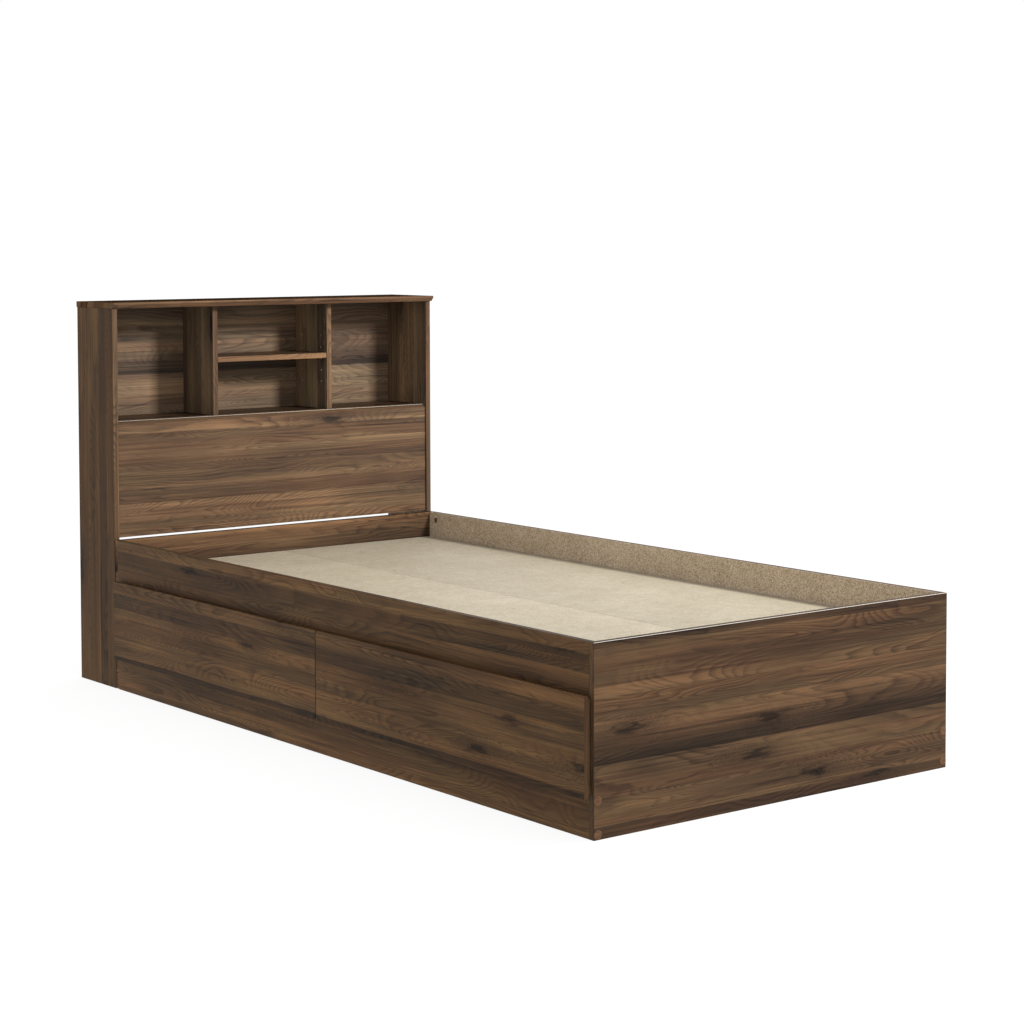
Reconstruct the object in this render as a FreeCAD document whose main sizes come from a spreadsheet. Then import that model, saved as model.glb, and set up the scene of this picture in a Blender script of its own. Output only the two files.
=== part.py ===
import FreeCAD, Part
import os
import re
import Sketcher

# Twin platform bed with a bookcase headboard and two drawers that open from its left side.
#
# Frame: +Z up, +Y from the foot to the headboard, +X to the right as seen from the foot.
# The origin is on the floor, in the middle of the whole bed's outline. Millimetres.
#
# Sizes and places are formulas: text made of the words of DIMENSIONS and PLACES. Every formula
# ends up as an expression on the cells of the spreadsheet "Dims".

os.makedirs("parts", exist_ok=True)
doc = FreeCAD.newDocument("PlatformBed")

DIMENSIONS = {
    # Whole bed
    "Board": 15.0,              # thickness of the laminated particleboard
    "EdgeEase": 0.5,            # small chamfer along the edges of the boards
    "BedWidth": 1015.0,         # outer width of the bed box and of the headboard
    "BedLength": 1950.0,        # foot panel's face to the headboard's front edges
    "RailTop": 390.0,           # top edge of the foot, head and side panels
    "HeadPanelInset": 2.0,      # the head panel's ends stop this far inside the sides
    # Headboard
    "HeadboardDepth": 194.0,
    "EndHeight": 993.0,         # end panels, up to the underside of the top
    "TopFrontOverhang": 14.0,
    "TopSideOverhang": 2.0,
    "TopBand": 5.5,             # upright part of the top's moulded front edge
    "TopBevelDepth": 9.0,
    "FrontPanelLow": 394.0,
    "FrontPanelHigh": 698.0,
    "FrontPanelRecess": 5.0,    # behind the end panels' front edges
    "PanelBevelHeight": 8.5,
    "PanelBevelDepth": 10.0,
    "SideCubby": 302.5,         # clear width of the left and right cubbies
    "DividerSetback": 30.0,
    "BackThick": 3.0,           # hardboard back
    "BackInset": 4.0,           # rabbet's depth, from the end panels' rear edges
    "RabbetWidth": 7.0,
    "BackPlay": 0.5,
    "PanelCamLow": 46.0,        # front panel's lower cams, above its lower edge
    "PanelCamHigh": 90.0,       # and its upper cams, below its upper edge
    "EndScrewHigh": 140.0,      # screws of the end panels, below the top of the head panel
    "EndScrewLow": 260.0,
    "NailMargin": 60.0,         # outer nails of a divider, from the fixed shelf and the top
    # Adjustable shelf and its pins
    "PinRadius": 2.5,
    "PinDepth": 10.0,
    "PinReach": 10.0,
    "CollarRadius": 3.5,
    "CollarThick": 0.7,
    "PinLevel": 837.5,          # middle row of the pin holes
    "PinPitch": 32.0,
    "FrontColumn": 60.0,        # pin columns, behind the headboard's front edges
    "RearColumn": 157.0,
    "ShelfPlay": 1.0,
    "ShelfLift": 0.3,           # running clearance over the pins
    # Bed box
    "KickHeight": 96.0,
    "TopRailLow": 272.0,
    "PlatformTop": 320.0,
    "PlatformPlay": 1.0,
    "PlatformSeam": 0.6,
    "Cleat": 18.0,
    "CleatPlay": 0.5,
    "FirstCross": 886.0,        # cross supports, from the foot panel's inner face
    "SecondCross": 1412.0,
    "LeftDowelDrop": 90.0,      # corner dowels, below the top edge
    "RightDowelDrop": 170.0,
    "CleatScrewShift": 40.0,    # row of the cleat screws, moved clear of the cross supports
    "DeckScrewInset": 150.0,    # foot-end deck screw, from the right side panel
    "DeckScrewLap": 14.0,       # head-end deck screw, from the centre support
    "SpareHole": 98.0,          # spare bore in the right side panel, from the head panel
    # Drawers
    "FrontGap": 2.5,            # drawer front's back to the side rails' face
    "FrontLow": 83.0,
    "FrontHeight": 203.0,
    "FrontLapFoot": 7.0,        # drawer front past its opening, at the foot end
    "FrontLapHead": 5.0,        # and at the head end
    "PullHeight": 9.5,          # finger bevels along the back of a drawer front
    "PullDepth": 8.0,
    "FrontCamLow": 40.0,        # cams in the drawer sides, above their lower edge
    "FrontCamHigh": 30.0,       # and below their upper edge
    "DrawerDepth": 450.0,
    "DrawerLow": 115.0,
    "DrawerHeight": 130.0,
    "BottomThick": 3.0,
    "GrooveDepth": 6.0,
    "GroovePlay": 0.2,
    "GrooveRise": 10.0,         # groove above the drawer side's lower edge
    # Roller runners; widths are measured from the wall that carries the runner
    "RunnerGap": 12.75,         # wall to drawer side
    "RunnerSetback": 2.0,
    "RunnerDrop": 3.5,          # case runner's underside, below the drawer side
    "Steel": 1.2,
    "CaseLength": 430.0,
    "CaseHeight": 22.0,
    "CaseWidth": 10.5,
    "CaseLip": 5.0,
    "CaseMouth": 24.0,          # open front end of the channel, where the roller sits
    "MemberWeb": 11.3,
    "MemberTop": 20.2,          # top flange's underside, above the case runner's underside
    "MemberReach": 5.8,
    "MemberFoot": 10.0,
    "RollerRadius": 9.0,
    "RollerAxis": 10.7,
    "RollerEnd": 11.0,
    "AxleRadius": 2.0,
    "AxleFit": 0.05,
    "FrontRollerNear": 5.9,
    "FrontRollerFar": 10.4,
    "RearRollerNear": 3.0,
    "RearRollerFar": 8.0,
    "RunnerScrewFirst": 60.0,   # screws from the start of a right runner
    "RunnerScrewSecond": 370.0,
    "RunnerScrewShift": 30.0,   # further on in a left one, so that two on a wall miss each other
    # Fittings
    "DrillPlay": 0.1,           # radial room of a bore round its fitting
    "CamRadius": 7.5,
    "CamDepth": 10.0,
    "CamInset": 30.0,           # cam's axis from the end of its board
    "CamHeight": 368.0,
    "CamSlot": 1.2,
    "CamSlotDepth": 2.5,
    "CamSlotReach": 5.25,
    "BoltRadius": 3.0,
    "BoltThread": 11.0,
    "BoltNeck": 2.0,
    "BoltHead": 5.0,
    "BoltShort": 1.0,           # bolt's head stops this short of the cam's axis
    "DowelRadius": 4.0,
    "DowelShort": 9.0,
    "DowelLong": 20.0,
    "DowelEase": 1.0,
    "NailRadius": 0.8,
    "NailLength": 20.0,
    "NailHeadRadius": 2.2,
    "NailHead": 0.8,
    "ScrewRadius": 1.8,
    "ScrewLength": 28.0,
    "ScrewHeadRadius": 3.8,
    "ScrewHead": 2.6,
    "SmallScrewLength": 12.0,
    "WaferRadius": 3.6,
    "WaferThick": 1.3,
    "FootScrewRadius": 3.2,
    "FootScrewLength": 50.0,
    "FootScrewHeadRadius": 5.0,
    "FootScrewHead": 3.0,
    "FootScrewLow": 14.0,
    "FootScrewHigh": 81.0,
    "CapRadius": 9.75,
    "CapThick": 0.8,
    "CapEase": 0.4,
    "CapOffset": 10.0,          # cap's middle from the foot panel's end
    "CapRiseLeft": -3.0,        # caps above (+) or below (-) their screws: fitted by hand
    "CapRiseRight": 2.5,
}

# Places and sizes that follow from the driving dimensions.
PLACES = {
    "FrontProud": "Board + FrontGap",
    "Left": "(FrontProud - TopSideOverhang - BedWidth) / 2",
    "Right": "Left + BedWidth",
    "Foot": "(CapThick - BedLength - HeadboardDepth) / 2",
    "Head": "Foot + BedLength",
    "Rear": "Head + HeadboardDepth",
    "InnerLeft": "Left + Board",
    "InnerRight": "Right - Board",
    "InnerWidth": "BedWidth - 2 * Board",
    "InnerFoot": "Foot + Board",
    "InnerHead": "Head - Board",
    "InnerLength": "BedLength - 2 * Board",
    "MiddleX": "Left + BedWidth / 2",
    "CentreLeft": "MiddleX - Board / 2",
    "CentreRight": "MiddleX + Board / 2",
    "HalfWidth": "(InnerWidth - Board) / 2",
    "BackFace": "Rear - BackInset",
    "PanelFace": "Head + FrontPanelRecess",
    "ShelfUnder": "FrontPanelHigh - Board",
    "ShelfMiddle": "FrontPanelHigh - Board / 2",
    "DividerFace": "Head + DividerSetback",
    "DividerLeft": "InnerLeft + SideCubby",
    "DividerRight": "InnerRight - SideCubby - Board",
    "MiddleCubby": "InnerWidth - 2 * SideCubby - 2 * Board",
    "PlatformUnder": "PlatformTop - Board",
    "Opening": "(InnerLength - 2 * Board) / 2",
    "MiddleWall": "InnerFoot + Opening",
    "HeadWall": "InnerFoot + 2 * Opening + Board",
    "DrawerStart": "Left - FrontGap",
    "DrawerWidth": "Opening - 2 * RunnerGap",
    "DrawerInside": "DrawerWidth - 2 * Board",
    "GrooveLow": "DrawerLow + GrooveRise",
    "RunnerLevel": "DrawerLow - RunnerDrop",
    "CaseStart": "InnerLeft + RunnerSetback",
    "CaseAxle": "CaseStart + RollerEnd",
    "RearAxle": "DrawerStart + DrawerDepth - RollerEnd",
    "AxleLevel": "RunnerLevel + RollerAxis",
}

sheet = doc.addObject("Spreadsheet::Sheet", "Dims")
for row, (alias, number) in enumerate(DIMENSIONS.items(), start=1):
    sheet.set(f"A{row}", alias)
    sheet.set(f"B{row}", str(number))
    sheet.setAlias(f"B{row}", alias)
doc.recompute()

WORD = re.compile(r"[A-Za-z]\w*")


def formula(text):
    """Spells a formula out as an expression on the spreadsheet's cells."""
    def spell(match):
        word = match.group(0)
        if word in PLACES:
            return "(" + formula(PLACES[word]) + ")"
        if word in DIMENSIONS:
            return "Dims." + word
        raise KeyError(word)
    return WORD.sub(spell, str(text))


def bind(item, **sizes):
    for size, text in sizes.items():
        item.setExpression(size, formula(text))
    return item


DIRECTIONS = {
    "+X": FreeCAD.Vector(1, 0, 0), "-X": FreeCAD.Vector(-1, 0, 0),
    "+Y": FreeCAD.Vector(0, 1, 0), "-Y": FreeCAD.Vector(0, -1, 0),
    "+Z": FreeCAD.Vector(0, 0, 1), "-Z": FreeCAD.Vector(0, 0, -1),
}
OPPOSITE = {"+X": "-X", "-X": "+X", "+Y": "-Y", "-Y": "+Y", "+Z": "-Z", "-Z": "+Z"}


def turn(direction, side=None):
    """The rotation that points +Z in a direction and, where it matters, +X to a side."""
    up = DIRECTIONS[direction]
    if side is None:
        return FreeCAD.Rotation(DIRECTIONS["+Z"], up)
    across = DIRECTIONS[side]
    return FreeCAD.Rotation(across, up.cross(across), up, "ZXY")


def place(item, spot, rotation=None):
    """Puts an object at a spot given by three formulas."""
    item.Placement = FreeCAD.Placement(FreeCAD.Vector(), rotation or FreeCAD.Rotation())
    for axis, text in zip("xyz", spot):
        item.setExpression("Placement.Base." + axis, formula(text))
    return item


def along(spot, direction, distance):
    """The spot moved a distance in a direction."""
    axis = "XYZ".index(direction[1])
    moved = list(spot)
    moved[axis] = f"({spot[axis]}) {direction[0]} ({distance})"
    return tuple(moved)


NODES = {}


def keep(label, item):
    """Names a finished sub-part."""
    item.Label = label
    NODES[label] = item
    return item


def new(kind, label, role):
    item = doc.addObject(kind, label + "_" + role)
    item.Label = label + " " + role
    return item


# ---------------------------------------------------------------- bores and boards

BORES = {}
DRILL_START = 1


def bore(label, mouth, direction, radius, depth):
    """Notes a round bore in a board: its mouth, the way it is drilled, radius and depth."""
    BORES.setdefault(label, []).append((mouth, direction, radius, depth))


def drill(label, mouth, direction, radius, depth):
    """What a drill clears, from just outside the board's face."""
    tool = new("Part::Cylinder", label, "drill")
    bind(tool, Radius=f"{radius} + DrillPlay", Height=f"{depth} + DrillPlay + {DRILL_START}")
    return place(tool, along(mouth, direction, -DRILL_START), turn(direction))


def finish(label, blank, cuts=()):
    """Cuts the bores and any other tools from a blank and keeps it as a sub-part."""
    tools = list(cuts) + [drill(label, *each) for each in BORES.get(label, [])]
    if not tools:
        return keep(label, blank)
    group = new("Part::Compound", label, "cuts")
    group.Links = tools
    piece = new("Part::Cut", label, "part")
    piece.Base = blank
    piece.Tool = group
    return keep(label, piece)


def block(label, role, corner, size):
    """A plain block from its low corner and its size."""
    item = new("Part::Box", label, role)
    bind(item, Length=size[0], Width=size[1], Height=size[2])
    return place(item, corner)


BOX_EDGES = range(1, 13)


def eased_block(label, corner, size):
    plain = block(label, "blank", corner, size)
    ease = sheet.get("EdgeEase")
    eased = new("Part::Chamfer", label, "eased")
    eased.Base = plain
    eased.Edges = [(edge, ease, ease) for edge in BOX_EDGES]
    return eased


def board(label, corner, size, cuts=()):
    """A square board with eased edges and its bores."""
    return finish(label, eased_block(label, corner, size), cuts)


# ---------------------------------------------------------------- profiles

ROUGH_STEP = 100                # spacing of a sketch's corners before the formulas place them


def outline(body, label, plane, corners):
    """A closed sketch of straight lines whose corners are held by formulas."""
    sketch = body.newObject("Sketcher::SketchObject", label + "_outline")
    origin_plane = next(item for item in body.Origin.OriginFeatures if item.Role == plane)
    sketch.AttachmentSupport = (origin_plane, [""])
    sketch.MapMode = "FlatFace"
    count = len(corners)
    rough = [FreeCAD.Vector(index + 1, index % 3 + 1, 0) * ROUGH_STEP for index in range(count)]
    for start in range(count):
        sketch.addGeometry(Part.LineSegment(rough[start], rough[(start + 1) % count]), False)
    for start in range(count):
        sketch.addConstraint(Sketcher.Constraint("Coincident", start, 2, (start + 1) % count, 1))
    for index, (across, up) in enumerate(corners):
        hold_corner(sketch, index, "DistanceX", across, rough[index].x)
        hold_corner(sketch, index, "DistanceY", up, rough[index].y)
    return sketch


def hold_corner(sketch, corner, kind, text, rough):
    held = sketch.addConstraint(Sketcher.Constraint(kind, -1, 1, corner, 1, rough))
    sketch.setExpression(f"Constraints[{held}]", formula(text))


def padded(label, plane, corners, length, spot):
    """A profile on the body's XZ or YZ plane, padded along +Y or +X."""
    body = new("PartDesign::Body", label, "body")
    pad = body.newObject("PartDesign::Pad", label + "_pad")
    pad.Profile = outline(body, label, plane, corners)
    pad.Reversed = plane == "XZ_Plane"
    bind(pad, Length=length)
    return place(body, spot)


def turned(label, corners):
    """A profile of (radius, height) corners turned once round the body's Z axis."""
    body = new("PartDesign::Body", label, "body")
    spin = body.newObject("PartDesign::Revolution", label + "_spin")
    spin.Profile = outline(body, label, "XZ_Plane", corners)
    spin.ReferenceAxis = (spin.Profile[0], ["V_Axis"])
    spin.Angle = 360
    return body


def copies(label, master, spots):
    """Identical fittings as one sub-part, a copy of the master at every spot."""
    links = []
    for spot, rotation in spots:
        link = new("App::Link", label, "copy")
        link.LinkedObject = master
        links.append(place(link, spot, rotation))
    group = new("Part::Compound", label, "group")
    group.Links = links
    return keep(label, group)


# ---------------------------------------------------------------- fittings and their bores
# A fitting is placed once, and the same place gives the bores of the boards that it joins.

SPOTS = {}


def fit(label, spot, direction, side=None):
    SPOTS.setdefault(label, []).append((spot, turn(direction, side)))


def cam_joint(cams, bolts, cam_board, cam_face, cam_way, bolt_board, bolt_mouth, bolt_way):
    """A cam lock sunk in one board pulls on a bolt that stands in the face of another.

    bolt_mouth is where the bolt leaves its board, and cam_face the thickness axis's place of
    the face that the cam is drilled from, in the direction cam_way."""
    axis = "XYZ".index(cam_way[1])
    cam_mouth = list(along(bolt_mouth, bolt_way, "CamInset"))
    cam_mouth[axis] = cam_face
    fit(cams, cam_mouth, cam_way, OPPOSITE[bolt_way])
    fit(bolts, bolt_mouth, bolt_way)
    bore(cam_board, cam_mouth, cam_way, "CamRadius", "CamDepth")
    bore(cam_board, bolt_mouth, bolt_way, "BoltRadius", "CamInset")
    bore(bolt_board, bolt_mouth, OPPOSITE[bolt_way], "BoltRadius", "BoltThread")


def dowel_joint(short_board, long_board, mouth, way):
    """A wooden dowel whose short end points into the short board."""
    fit("dowels", mouth, way)
    bore(short_board, mouth, way, "DowelRadius", "DowelShort")
    bore(long_board, mouth, OPPOSITE[way], "DowelRadius", "DowelLong")


def wood_screw(through, thick, into, mouth, way):
    """A countersunk screw through one board, whose thickness is thick, into another."""
    fit("wood_screws", mouth, way)
    bore(through, mouth, way, "ScrewHeadRadius", "ScrewHead")
    bore(through, mouth, way, "ScrewRadius", thick)
    bore(into, along(mouth, way, thick), way, "ScrewRadius", f"ScrewLength - {thick}")


def back_nail(into, across, level):
    """A nail through the hardboard back into the rear edge of a board."""
    rear = "BackFace + BackThick"
    fit("back_nails", (across, rear, level), "-Y")
    bore("headboard_back_panel", (across, rear, level), "-Y", "NailRadius", "BackThick")
    bore(into, (across, "BackFace", level), "-Y", "NailRadius", "NailLength - BackThick")


def foot_screw(into, across, level, cap_across, cap_level):
    """A long screw through the foot panel into the end of a side board, and its cover cap."""
    fit("foot_screws", (across, "Foot", level), "+Y")
    bore("foot_panel", (across, "Foot", level), "+Y", "FootScrewHeadRadius", "FootScrewHead")
    bore("foot_panel", (across, "Foot", level), "+Y", "FootScrewRadius", "Board")
    bore(into, (across, "InnerFoot", level), "+Y", "FootScrewRadius", "FootScrewLength - Board")
    fit("cover_caps", (cap_across, "Foot", cap_level), "-Y")


SIDE_BOARDS = (
    # upper board, lower board, inner face, middle of its thickness, way out, cap's middle
    ("left_top_rail", "left_kick_rail", "InnerLeft", "Left + Board / 2", "-X",
     "Left + CapOffset", "CapRiseLeft", "RailTop - LeftDowelDrop"),
    ("right_side_panel", "right_side_panel", "InnerRight", "Right - Board / 2", "+X",
     "Right - CapOffset", "CapRiseRight", "RailTop - RightDowelDrop"),
)


def join_bed_corners():
    for upper, lower, face, middle, way, cap, rise, dowel_level in SIDE_BOARDS:
        for panel, end, inward in (("foot_panel", "InnerFoot", "+Y"), ("head_panel", "InnerHead", "-Y")):
            cam_joint("cam_locks", "cam_bolts", upper, face, way, panel, (middle, end, "CamHeight"), inward)
            dowel_joint(panel, upper, (middle, end, dowel_level), OPPOSITE[inward])
        cam_joint("cam_locks", "cam_bolts", lower, face, way,
                  "head_panel", (middle, "InnerHead", "KickHeight / 2"), "-Y")
        for level in ("FootScrewLow", "FootScrewHigh"):
            foot_screw(lower, middle, level, cap, f"{level} + {rise}")
    bore("right_side_panel", ("InnerRight", "InnerHead - SpareHole", "RailTop - Board"), "+X",
         "PinRadius", "PinDepth")


COLUMNS = ("FrontColumn", "RearColumn")


def join_headboard():
    for end_panel, face, middle, inward in (
            ("headboard_end_left", "InnerLeft", "Left + Board / 2", "+X"),
            ("headboard_end_right", "InnerRight", "Right - Board / 2", "-X")):
        for column in COLUMNS:
            cam_joint("cam_locks", "cam_bolts", "fixed_shelf", "ShelfUnder", "+Z",
                      end_panel, (face, f"Head + {column}", "ShelfMiddle"), inward)
            dowel_joint("headboard_top", end_panel, (middle, f"Head + {column}", "EndHeight"), "+Z")
        for level in ("FrontPanelLow + PanelCamLow", "FrontPanelHigh - PanelCamHigh"):
            cam_joint("cam_locks", "cam_bolts", "headboard_front_panel", "PanelFace + Board", "-Y",
                      end_panel, (face, "PanelFace + Board / 2", level), inward)
        for level in ("RailTop - EndScrewHigh", "RailTop - EndScrewLow"):
            wood_screw("head_panel", "Board", end_panel, (middle, "InnerHead", level), "+Y")


def join_dividers():
    for divider, left, drilled, way in (
            ("divider_left", "DividerLeft", "DividerLeft + Board", "-X"),
            ("divider_right", "DividerRight", "DividerRight", "+X")):
        middle = f"{left} + Board / 2"
        for column in COLUMNS:
            dowel_joint("headboard_top", divider, (middle, f"Head + {column}", "EndHeight"), "+Z")
            dowel_joint("fixed_shelf", divider, (middle, f"Head + {column}", "FrontPanelHigh"), "-Z")
            for row in range(-2, 3):
                bore(divider, (drilled, f"Head + {column}", f"PinLevel + {row} * PinPitch"), way,
                     "PinRadius", "PinDepth")
            fit("shelf_pins", (drilled, f"Head + {column}", "PinLevel"), OPPOSITE[way])
        for level in ("FrontPanelHigh + NailMargin", "PinLevel + PinPitch / 2", "EndHeight - NailMargin"):
            back_nail(divider, middle, level)


SHELF_NAILS = 6
CLEAT_SCREWS = 5


def join_shelf_back():
    for index in range(SHELF_NAILS):
        back_nail("fixed_shelf", f"InnerLeft + InnerWidth * {index + 0.5} / {SHELF_NAILS}", "ShelfMiddle")


def join_platform():
    """Screws of the cleats, and of the platform boards into what carries them."""
    for cleat, inside, panel, way in (
            ("cleat_left", "InnerLeft + Cleat", "left_top_rail", "-X"),
            ("cleat_right", "InnerRight - Cleat", "right_side_panel", "+X")):
        for index in range(CLEAT_SCREWS):
            step = f"InnerLength * {index + 0.5} / {CLEAT_SCREWS} + CleatScrewShift"
            spot = (inside, f"InnerFoot + {step}", "PlatformUnder - Cleat / 2")
            wood_screw(cleat, "Cleat", panel, spot, way)
    wood_screw("platform_right", "Board", "cross_support_foot",
               ("InnerRight - DeckScrewInset", "InnerFoot + FirstCross + Board / 2", "PlatformTop"), "-Z")
    wood_screw("platform_right", "Board", "cross_support_head",
               ("CentreRight + DeckScrewLap", "InnerFoot + SecondCross + Board / 2", "PlatformTop"), "-Z")


# ---------------------------------------------------------------- headboard

def headboard_end(side, left, rabbet_left):
    label = "headboard_end_" + side
    rabbet = block(label, "rabbet", (rabbet_left, "BackFace", "ShelfUnder"),
                   ("RabbetWidth", "2 * BackInset", "EndHeight"))
    board(label, (left, "Head", "0"), ("Board", "HeadboardDepth", "EndHeight"), [rabbet])


def headboard_top():
    """The top, whose moulded front edge slopes back under an upright band."""
    corners = [
        ("TopBevelDepth", "0"),
        ("HeadboardDepth + TopFrontOverhang", "0"),
        ("HeadboardDepth + TopFrontOverhang", "Board"),
        ("0", "Board"),
        ("0", "Board - TopBand"),
    ]
    blank = padded("headboard_top", "YZ_Plane", corners, "BedWidth + 2 * TopSideOverhang",
                   ("Left - TopSideOverhang", "Head - TopFrontOverhang", "EndHeight"))
    finish("headboard_top", blank)


def headboard_front_panel():
    """The panel behind the pillows, with a bevel along its top front edge."""
    corners = [
        ("0", "0"),
        ("Board", "0"),
        ("Board", "FrontPanelHigh - FrontPanelLow"),
        ("PanelBevelDepth", "FrontPanelHigh - FrontPanelLow"),
        ("0", "FrontPanelHigh - FrontPanelLow - PanelBevelHeight"),
    ]
    blank = padded("headboard_front_panel", "YZ_Plane", corners, "InnerWidth",
                   ("InnerLeft", "PanelFace", "FrontPanelLow"))
    finish("headboard_front_panel", blank)


def headboard_shelves():
    board("fixed_shelf", ("InnerLeft", "PanelFace + Board", "ShelfUnder"),
          ("InnerWidth", "BackFace - (PanelFace + Board)", "Board"))
    for label, left in (("divider_left", "DividerLeft"), ("divider_right", "DividerRight")):
        board(label, (left, "DividerFace", "FrontPanelHigh"),
              ("Board", "BackFace - DividerFace", "EndHeight - FrontPanelHigh"))
    board("adjustable_shelf",
          ("DividerLeft + Board + ShelfPlay", "DividerFace + ShelfPlay", "PinLevel + PinRadius + ShelfLift"),
          ("MiddleCubby - 2 * ShelfPlay", "BackFace - DividerFace - 2 * ShelfPlay", "Board"))


def headboard_back():
    blank = block("headboard_back_panel", "blank",
                  ("InnerLeft - RabbetWidth + BackPlay", "BackFace", "ShelfUnder + BackPlay"),
                  ("InnerWidth + 2 * (RabbetWidth - BackPlay)", "BackThick",
                   "EndHeight - ShelfUnder - 2 * BackPlay"))
    finish("headboard_back_panel", blank)


# ---------------------------------------------------------------- bed box

def bed_panels():
    board("foot_panel", ("Left", "Foot", "0"), ("BedWidth", "Board", "RailTop"))
    board("head_panel", ("Left + HeadPanelInset", "InnerHead", "0"),
          ("BedWidth - 2 * HeadPanelInset", "Board", "RailTop"))
    board("left_top_rail", ("Left", "InnerFoot", "TopRailLow"),
          ("Board", "InnerLength", "RailTop - TopRailLow"))
    board("left_kick_rail", ("Left", "InnerFoot", "0"), ("Board", "InnerLength", "KickHeight"))
    board("right_side_panel", ("InnerRight", "InnerFoot", "0"), ("Board", "InnerLength", "RailTop"))
    board("centre_support", ("CentreLeft", "InnerFoot", "0"), ("Board", "InnerLength", "PlatformUnder"))


def cross_wall(label, left, notch_left, foot_face):
    """An upright wall across half of the bed, notched at the top for the side's cleat."""
    notch = block(label, "notch", (notch_left, f"{foot_face} - Board", "PlatformUnder - Cleat - CleatPlay"),
                  ("Cleat + CleatPlay", "3 * Board", "2 * Cleat"))
    board(label, (left, foot_face, "0"), ("HalfWidth", "Board", "PlatformUnder"), [notch])


def cross_walls():
    cross_wall("partition_middle", "InnerLeft", "InnerLeft", "MiddleWall")
    cross_wall("partition_head", "InnerLeft", "InnerLeft", "HeadWall")
    right_notch = "InnerRight - Cleat - CleatPlay"
    cross_wall("cross_support_foot", "CentreRight", right_notch, "InnerFoot + FirstCross")
    cross_wall("cross_support_head", "CentreRight", right_notch, "InnerFoot + SecondCross")


def platform():
    for label, left in (("cleat_left", "InnerLeft"), ("cleat_right", "InnerRight - Cleat")):
        board(label, (left, "InnerFoot + CleatPlay", "PlatformUnder - Cleat"),
              ("Cleat", "InnerLength - 2 * CleatPlay", "Cleat"))
    width = "InnerWidth / 2 - PlatformPlay - PlatformSeam / 2"
    for label, left in (("platform_left", "InnerLeft + PlatformPlay"),
                        ("platform_right", "MiddleX + PlatformSeam / 2")):
        board(label, (left, "InnerFoot + PlatformPlay", "PlatformUnder"),
              (width, "InnerLength - 2 * PlatformPlay", "Board"))


# ---------------------------------------------------------------- drawers
# Left and right are as seen by someone who faces the drawer, so right is towards the foot.

DRAWERS = {
    # name: foot end of its opening, wall on its right, wall on its left
    "foot": ("InnerFoot", "foot_panel", "partition_middle"),
    "head": ("MiddleWall + Board", "partition_middle", "partition_head"),
}


def walls(name):
    """Side, wall's board, wall's face and the way from that wall into the opening."""
    start, right_wall, left_wall = DRAWERS[name]
    return (("right", right_wall, start, "+"), ("left", left_wall, f"{start} + Opening", "-"))


def between(face, inward, near, far):
    """Low Y and width of what lies between two distances from a wall's face."""
    low = f"{face} + {near}" if inward == "+" else f"{face} - ({far})"
    return low, f"({far}) - ({near})"


def join_drawer_front(name):
    """Cam locks in the drawer sides pull on bolts in the back of the drawer front."""
    for side, wall, face, inward in walls(name):
        middle = f"{face} {inward} (RunnerGap + Board / 2)"
        inner = f"{face} {inward} (RunnerGap + Board)"
        for level in ("DrawerLow + FrontCamLow", "DrawerLow + DrawerHeight - FrontCamHigh"):
            cam_joint(f"{name}_drawer_cam_locks", f"{name}_drawer_cam_bolts",
                      f"{name}_drawer_side_{side}", inner, OPPOSITE[inward + "Y"],
                      f"{name}_drawer_front", ("DrawerStart", middle, level), "+X")


def drawer_front(name):
    """A drawer front, bevelled along the back of its top and bottom edges as finger pulls."""
    label = f"{name}_drawer_front"
    start = DRAWERS[name][0]
    corners = [
        ("0", "0"),
        ("Board - PullDepth", "0"),
        ("Board", "PullHeight"),
        ("Board", "FrontHeight - PullHeight"),
        ("Board - PullDepth", "FrontHeight"),
        ("0", "FrontHeight"),
    ]
    blank = padded(label, "XZ_Plane", corners, "Opening + FrontLapFoot + FrontLapHead",
                   ("Left - FrontProud", f"{start} - FrontLapFoot", "FrontLow"))
    groove = block(label, "groove",
                   ("DrawerStart - GrooveDepth", f"{start} + RunnerGap + Board - GrooveDepth",
                    "GrooveLow - GroovePlay"),
                   ("2 * GrooveDepth", "DrawerInside + 2 * GrooveDepth", "BottomThick + 2 * GroovePlay"))
    finish(label, blank, [groove])


BACK_START = "DrawerStart + DrawerDepth - 2 * Board"


def drawer_sides(name):
    """Sides with a long groove for the bottom and an upright one for the back."""
    for side, wall, face, inward in walls(name):
        label = f"{name}_drawer_side_{side}"
        low, width = between(face, inward, "RunnerGap", "RunnerGap + Board")
        cut_low, cut_width = between(face, inward, "RunnerGap + Board - GrooveDepth", "RunnerGap + 2 * Board")
        bottom_groove = block(label, "bottom_groove",
                              ("DrawerStart - Board", cut_low, "GrooveLow - GroovePlay"),
                              ("DrawerDepth + 2 * Board", cut_width, "BottomThick + 2 * GroovePlay"))
        back_groove = block(label, "back_groove",
                            (f"{BACK_START} - GroovePlay", cut_low, "GrooveLow - GroovePlay"),
                            ("Board + 2 * GroovePlay", cut_width, "DrawerHeight"))
        board(label, ("DrawerStart", low, "DrawerLow"), ("DrawerDepth", "Board", "DrawerHeight"),
              [bottom_groove, back_groove])


def drawer_back_and_bottom(name):
    inside = f"{DRAWERS[name][0]} + RunnerGap + Board"
    reach = "GrooveDepth - GroovePlay"
    board(f"{name}_drawer_back",
          (BACK_START, f"{inside} - ({reach})", "GrooveLow + BottomThick + GroovePlay"),
          ("Board", f"DrawerInside + 2 * ({reach})", "DrawerHeight - GrooveRise - BottomThick - GroovePlay"))
    bottom = block(f"{name}_drawer_bottom", "blank",
                   (f"DrawerStart - ({reach})", f"{inside} - ({reach})", "GrooveLow"),
                   (f"DrawerDepth + {reach} - Board / 2", f"DrawerInside + 2 * ({reach})", "BottomThick"))
    finish(f"{name}_drawer_bottom", bottom)


# ---------------------------------------------------------------- runners

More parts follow.
